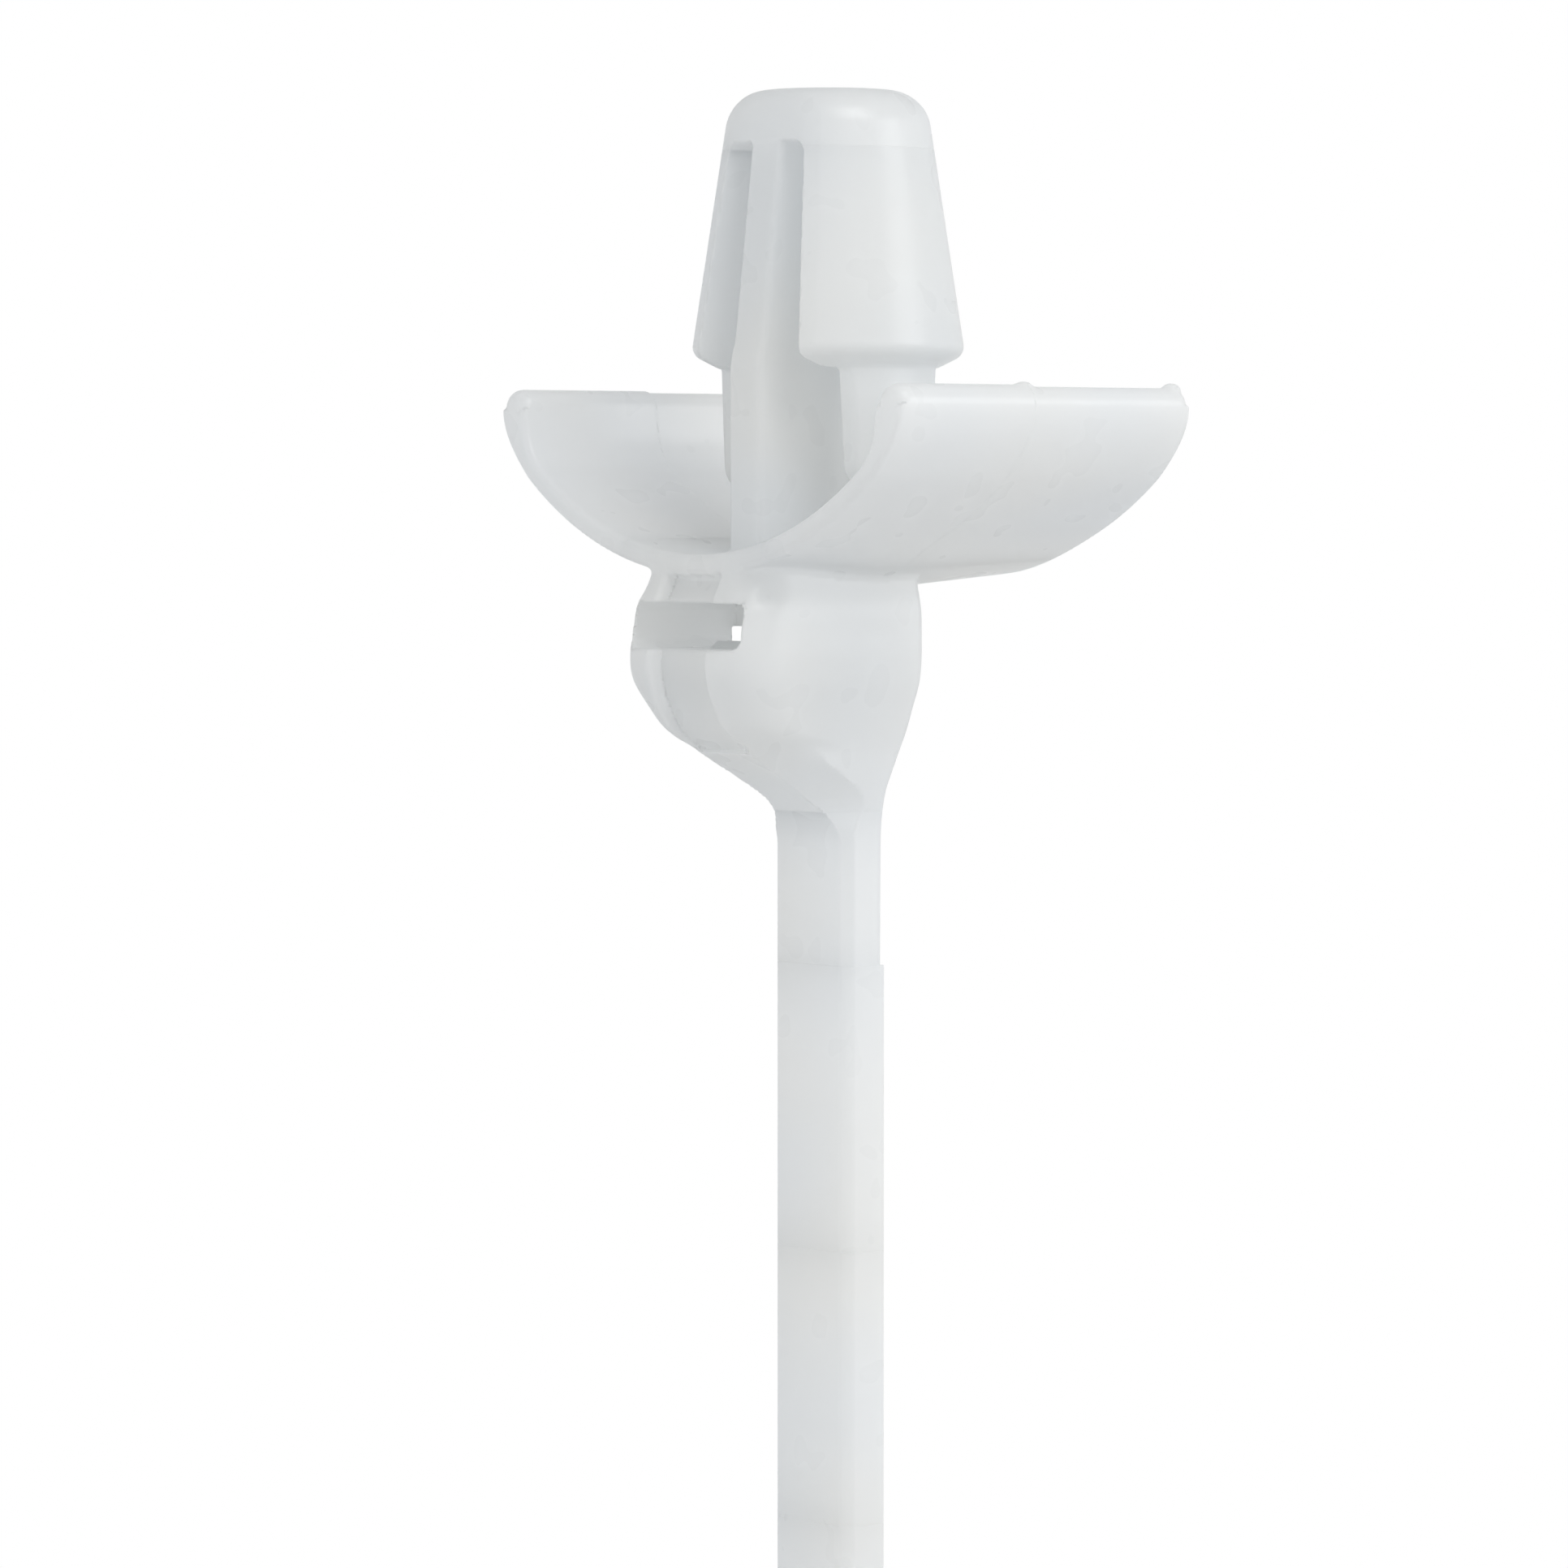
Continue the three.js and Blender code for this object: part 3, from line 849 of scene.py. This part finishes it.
def floor_material():
    """Matt white card with a faint mottle."""
    material = bpy.data.materials.new("pale_floor")
    material.use_nodes = True
    tree = material.node_tree
    shader = tree.nodes["Principled BSDF"]
    place = tree.nodes.new("ShaderNodeTexCoord").outputs["Object"]
    fibre = spread(tree, noise(tree, place, FIBRE_SCALE, 5.0).outputs["Fac"], *FIBRE)
    colour = linked(
        tree,
        "ShaderNodeCombineColor",
        {axis: fibre.outputs["Result"] for axis in ("Red", "Green", "Blue")},
    )
    tree.links.new(colour.outputs["Color"], shader.inputs["Base Color"])
    shader.inputs["Roughness"].default_value = FLOOR_ROUGHNESS
    return material


# Surroundings


def add_floor():
    shape = bmesh.new()
    bmesh.ops.create_grid(shape, x_segments=8, y_segments=8, size=FLOOR_HALF * MM)
    mesh = bpy.data.meshes.new("floor")
    shape.to_mesh(mesh)
    shape.free()
    mesh.materials.append(floor_material())
    floor = bpy.data.objects.new("floor", mesh)
    floor.location.z = FLOOR_Z * MM
    bpy.context.scene.collection.objects.link(floor)


def add_softbox(name, place, size, watts, colour):
    """A square lamp that faces the arrowhead and the head."""
    lamp = bpy.data.lights.new(name, "AREA")
    lamp.size = size * MM
    lamp.energy = watts
    lamp.color = colour
    item = bpy.data.objects.new(name, lamp)
    item.location = Vector(place) * MM
    aim = Vector((0, 0, LIGHT_AIM_Z)) * MM - item.location
    item.rotation_euler = aim.to_track_quat("-Z", "Y").to_euler()
    bpy.context.scene.collection.objects.link(item)


def add_world():
    world = bpy.data.worlds.new("studio")
    world.use_nodes = True
    tree = world.node_tree
    way = tree.nodes.new("ShaderNodeTexCoord").outputs["Generated"]
    height = linked(tree, "ShaderNodeSeparateXYZ", {"Vector": way}).outputs["Z"]
    share = linked(tree, "ShaderNodeMapRange", {"Value": height, "From Min": -1.0})
    level = linked(tree, "ShaderNodeValToRGB", {"Fac": share.outputs["Result"]})
    ramp = level.color_ramp
    ramp.interpolation = "EASE"
    ramp.elements[0].position, ramp.elements[1].position = WORLD_BELOW[0], WORLD_ABOVE[0]
    ramp.elements[0].color = (*(WORLD_BELOW[1],) * 3, 1)
    ramp.elements[1].color = (*(WORLD_ABOVE[1],) * 3, 1)
    for position in WORLD_HORIZON:
        ramp.elements.new(position).color = (1, 1, 1, 1)
    tree.links.new(level.outputs["Color"], tree.nodes["Background"].inputs["Color"])
    bpy.context.scene.world = world


def add_camera():
    """The camera at the photograph's place, looking slightly down at the top of the tie."""
    outward = Vector((math.sin(VIEW_AZIMUTH), -math.cos(VIEW_AZIMUTH), 0))
    aside = Vector((math.cos(VIEW_AZIMUTH), math.sin(VIEW_AZIMUTH), 0))
    eye = outward * VIEW_DISTANCE + Vector((0, 0, EYE_Z))
    aim = aside * AIM_ASIDE + Vector((0, 0, AIM_Z))
    data = bpy.data.cameras.new("camera")
    data.lens = LENS
    data.sensor_width = SENSOR_WIDTH
    data.clip_start = CLIP_START
    camera = bpy.data.objects.new("camera", data)
    camera.location = eye * MM
    camera.rotation_euler = (aim - eye).to_track_quat("-Z", "Y").to_euler()
    bpy.context.scene.collection.objects.link(camera)
    bpy.context.scene.camera = camera


# Build


nylon = nylon_material()

parts = divided(*meshed_moulding())
body = finished(parts["body"], "anchor_body")
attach(body, "anchor")
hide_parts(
    "nose", "spine_web", "wing_hub", "head_cheek_left", "head_cheek_right", "head_bridge",
    "head_floor", "strap_root",
)
for side, sign in (("left", -1), ("right", 1)):
    barb = finished(parts[f"barb_{side}"], f"barb_panel_{side}")
    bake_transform(barb)
    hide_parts(f"barb_{side}")
    wing = finished(parts[f"wing_{side}"], f"wing_blade_{side}")
    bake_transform(wing)
    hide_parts(f"wing_{side}")

tongue = pawl_piece()
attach(tongue, "pawl")
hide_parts("pawl")

links = sorted(name for name in frame["bodies"] if name.startswith("strap_link_"))
neck = finished(parts["neck"], "strap_neck")
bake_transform(neck)
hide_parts(links[0])

chain = [*links, "strap_tip"]
boxes = [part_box(name) for name in chain]
middles = [(low.z + high.z) / 2 / MM for low, high in boxes]
teeth_start = boxes[1][1].z / MM
for i in range(1, len(chain)):
    stretch_top = STEP_LINE if i == 1 else middles[i - 1]
    if i < len(links):
        stretch = strap_stretch(stretch_top, middles[i], teeth_start, f"strap_stretch_{i:02d}")
    else:
        low, high = boxes[i]
        stretch = strap_end(stretch_top, high.z / MM, low.z / MM, "strap_end")
    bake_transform(stretch)
    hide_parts(chain[i])

add_floor()
add_world()
for softbox in SOFTBOXES:
    add_softbox(*softbox)
add_camera()
bpy.context.scene.view_settings.view_transform = "Standard"
